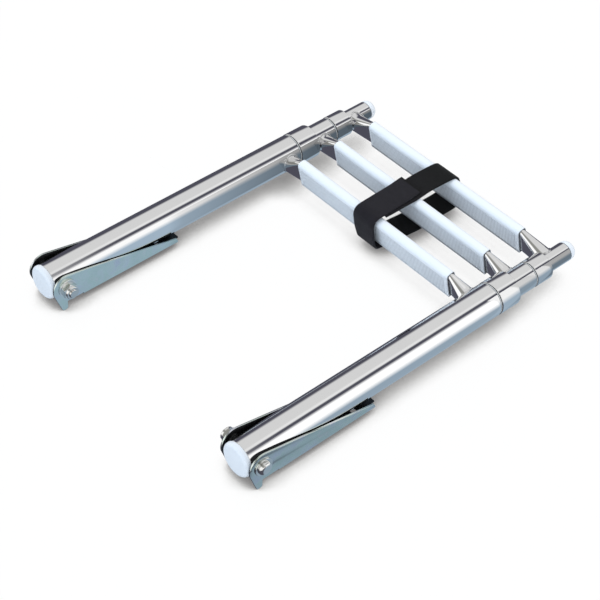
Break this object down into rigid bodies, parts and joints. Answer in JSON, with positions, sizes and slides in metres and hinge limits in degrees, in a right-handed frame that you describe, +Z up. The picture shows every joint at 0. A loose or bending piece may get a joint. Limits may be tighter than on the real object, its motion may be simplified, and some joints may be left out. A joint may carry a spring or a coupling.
{
  "type": "telescopic boat ladder",
  "caption": "Telescopic boarding ladder for a swim platform: nested stainless legs, plastic treads and swing-over deck brackets, stowed under a webbing strap.",
  "frame": {"origin": "on the floor under the middle of the stowed ladder, halfway between its legs", "axes": "+X along the steps to the right leg, +Y along the legs from the brackets to the lower steps, +Z up as the ladder lies stowed"},
  "size_m": [0.3712, 0.471, 0.0527],
  "materials": {
    "polished_steel": "mirror-polished stainless steel",
    "bracket_sheet": "polished formed stainless sheet",
    "fastener_steel": "plain stainless steel",
    "white_plastic": "satin white moulded plastic",
    "guide_plastic": "plain natural nylon",
    "webbing": "black hook-and-loop webbing"
  },
  "bodies": {
    "brackets": {"bracket_left": "bracket_sheet", "bracket_right": "bracket_sheet", "pivot_bolt_left": "fastener_steel", "pivot_bolt_right": "fastener_steel", "pivot_nut_left": "fastener_steel", "pivot_nut_right": "fastener_steel", "outer_washer_left": "fastener_steel", "outer_washer_right": "fastener_steel", "inner_washer_left": "fastener_steel", "inner_washer_right": "fastener_steel"},
    "upper": {"outer_tube_left": "polished_steel", "outer_tube_right": "polished_steel", "top_cap_left": "white_plastic", "top_cap_right": "white_plastic", "pivot_bush_left": "fastener_steel", "pivot_bush_right": "fastener_steel", "outer_bushing_left": "guide_plastic", "outer_bushing_right": "guide_plastic", "step_1_bar": "polished_steel", "step_1_tread": "white_plastic"},
    "middle": {"middle_tube_left": "polished_steel", "middle_tube_right": "polished_steel", "middle_collar_left": "polished_steel", "middle_collar_right": "polished_steel", "middle_guide_left": "guide_plastic", "middle_guide_right": "guide_plastic", "middle_bushing_left": "guide_plastic", "middle_bushing_right": "guide_plastic", "step_2_bar": "polished_steel", "step_2_tread": "white_plastic", "strap": "webbing"},
    "lower": {"inner_tube_left": "polished_steel", "inner_tube_right": "polished_steel", "inner_collar_left": "polished_steel", "inner_collar_right": "polished_steel", "inner_guide_left": "guide_plastic", "inner_guide_right": "guide_plastic", "end_plug_left": "white_plastic", "end_plug_right": "white_plastic", "step_3_bar": "polished_steel", "step_3_tread": "white_plastic"}
  },
  "joints": [
    {"name": "fold", "type": "hinge", "parent": "brackets", "child": "upper", "pos_m": [0, -0.2185, 0.0295], "axis": [1, 0, 0], "range_deg": [0, 257]},
    {"name": "middle_slide", "type": "slide", "parent": "upper", "child": "middle", "axis": [0, 1, 0], "range_m": [0, 0.25], "deforming": ["strap"]},
    {"name": "lower_slide", "type": "slide", "parent": "middle", "child": "lower", "axis": [0, 1, 0], "range_m": [0, 0.25], "deforming": ["strap"]}
  ]
}
